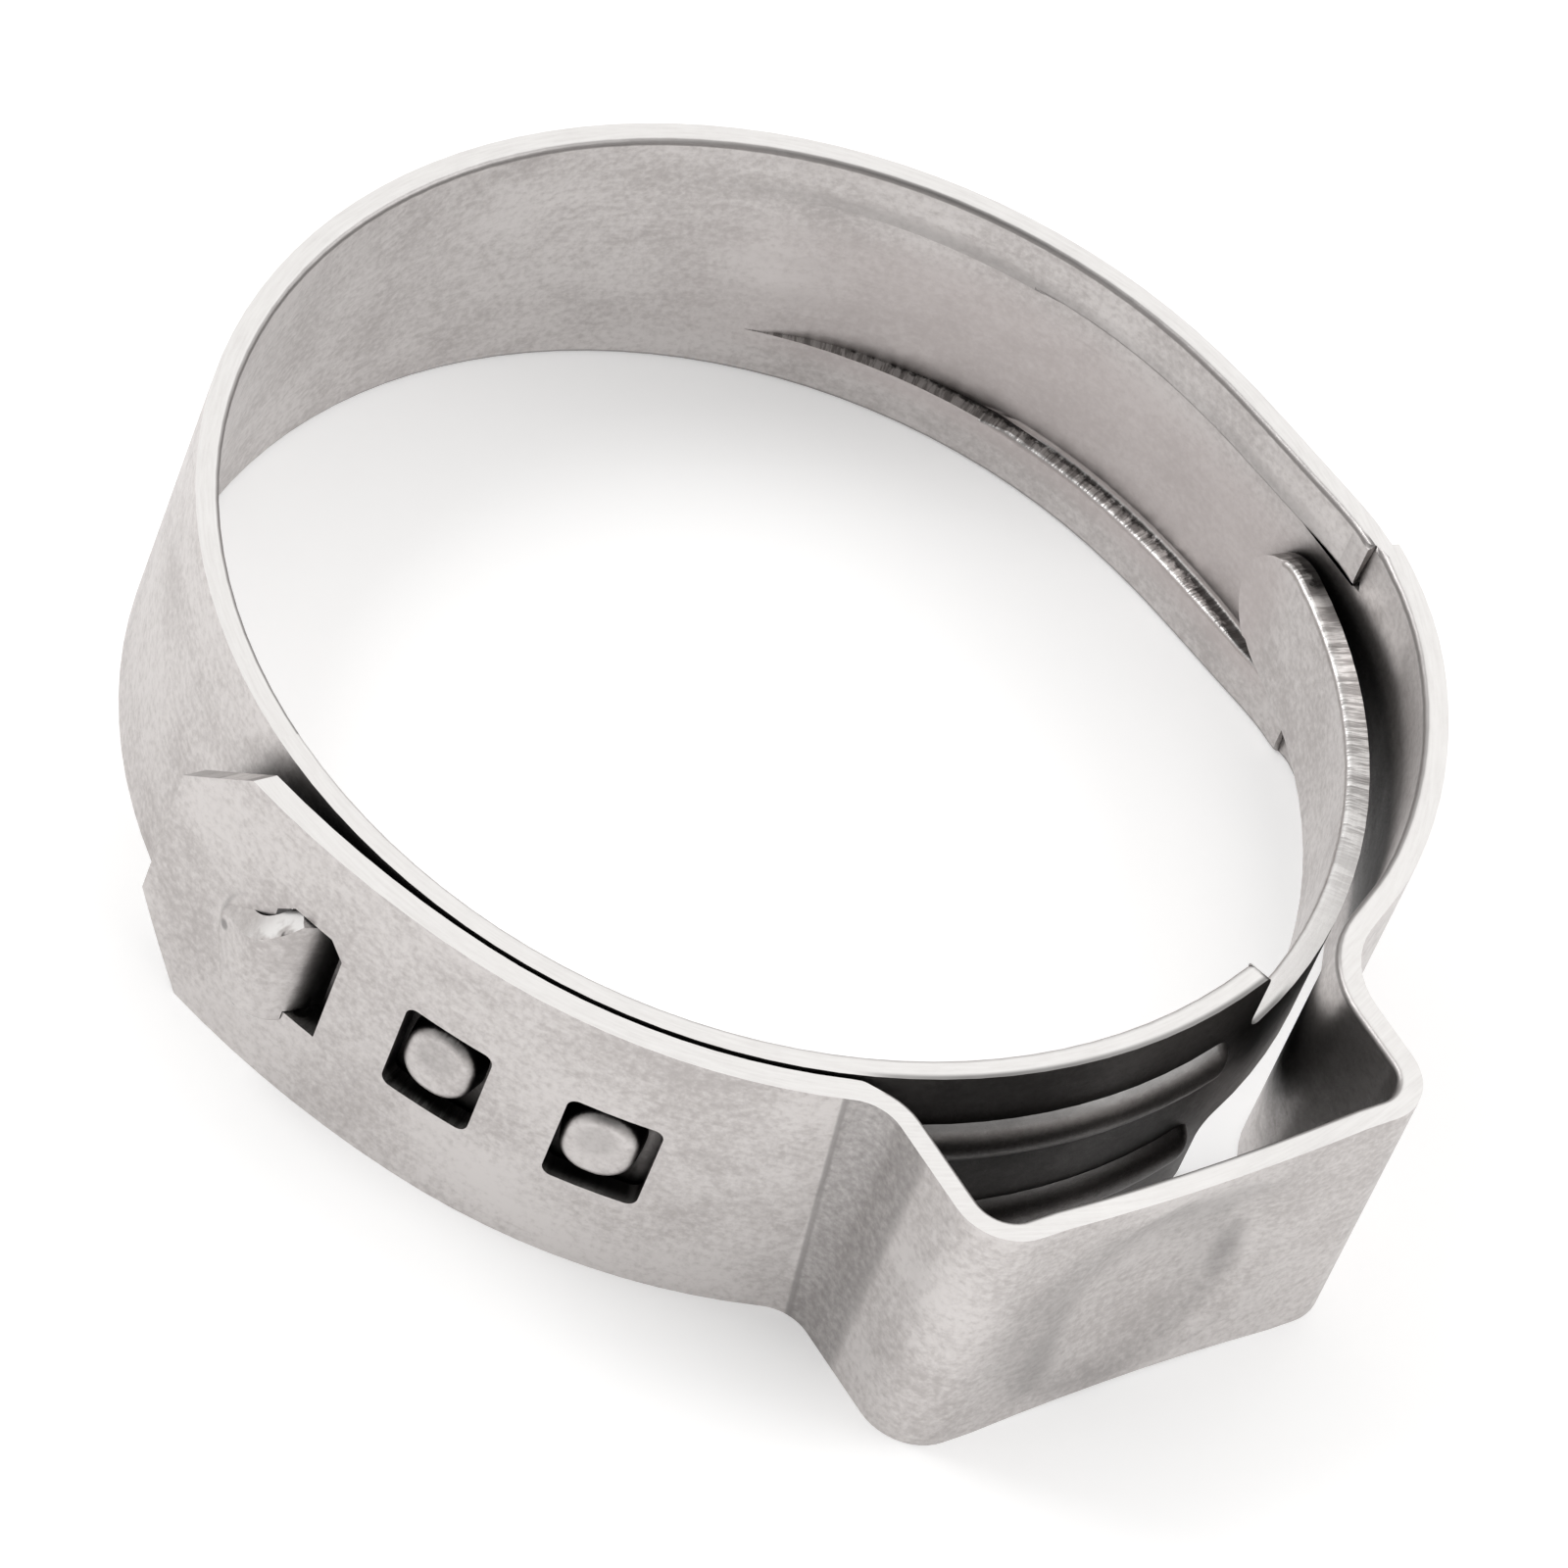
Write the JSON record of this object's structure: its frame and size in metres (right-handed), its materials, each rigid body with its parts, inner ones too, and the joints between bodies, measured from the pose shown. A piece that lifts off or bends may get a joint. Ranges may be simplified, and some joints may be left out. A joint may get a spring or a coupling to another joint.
{
  "type": "ear hose clamp",
  "caption": "Open stepless ear clamp of thin stainless strip: a round band with a crimping ear, lapped free end with hook and windows, and a tongue running in a channel.",
  "frame": {"origin": "centre of the ring, at the middle of the strip's width", "axes": "+Z along the ring's axis, -Y from the ring's centre towards the middle of the ear, free end on the -X side and tongue channel on the +X side"},
  "size_m": [0.0264, 0.0277, 0.0066],
  "materials": {
    "steel": "satin"
  },
  "bodies": {
    "root": {"clamp_band": "steel"}
  },
  "joints": []
}
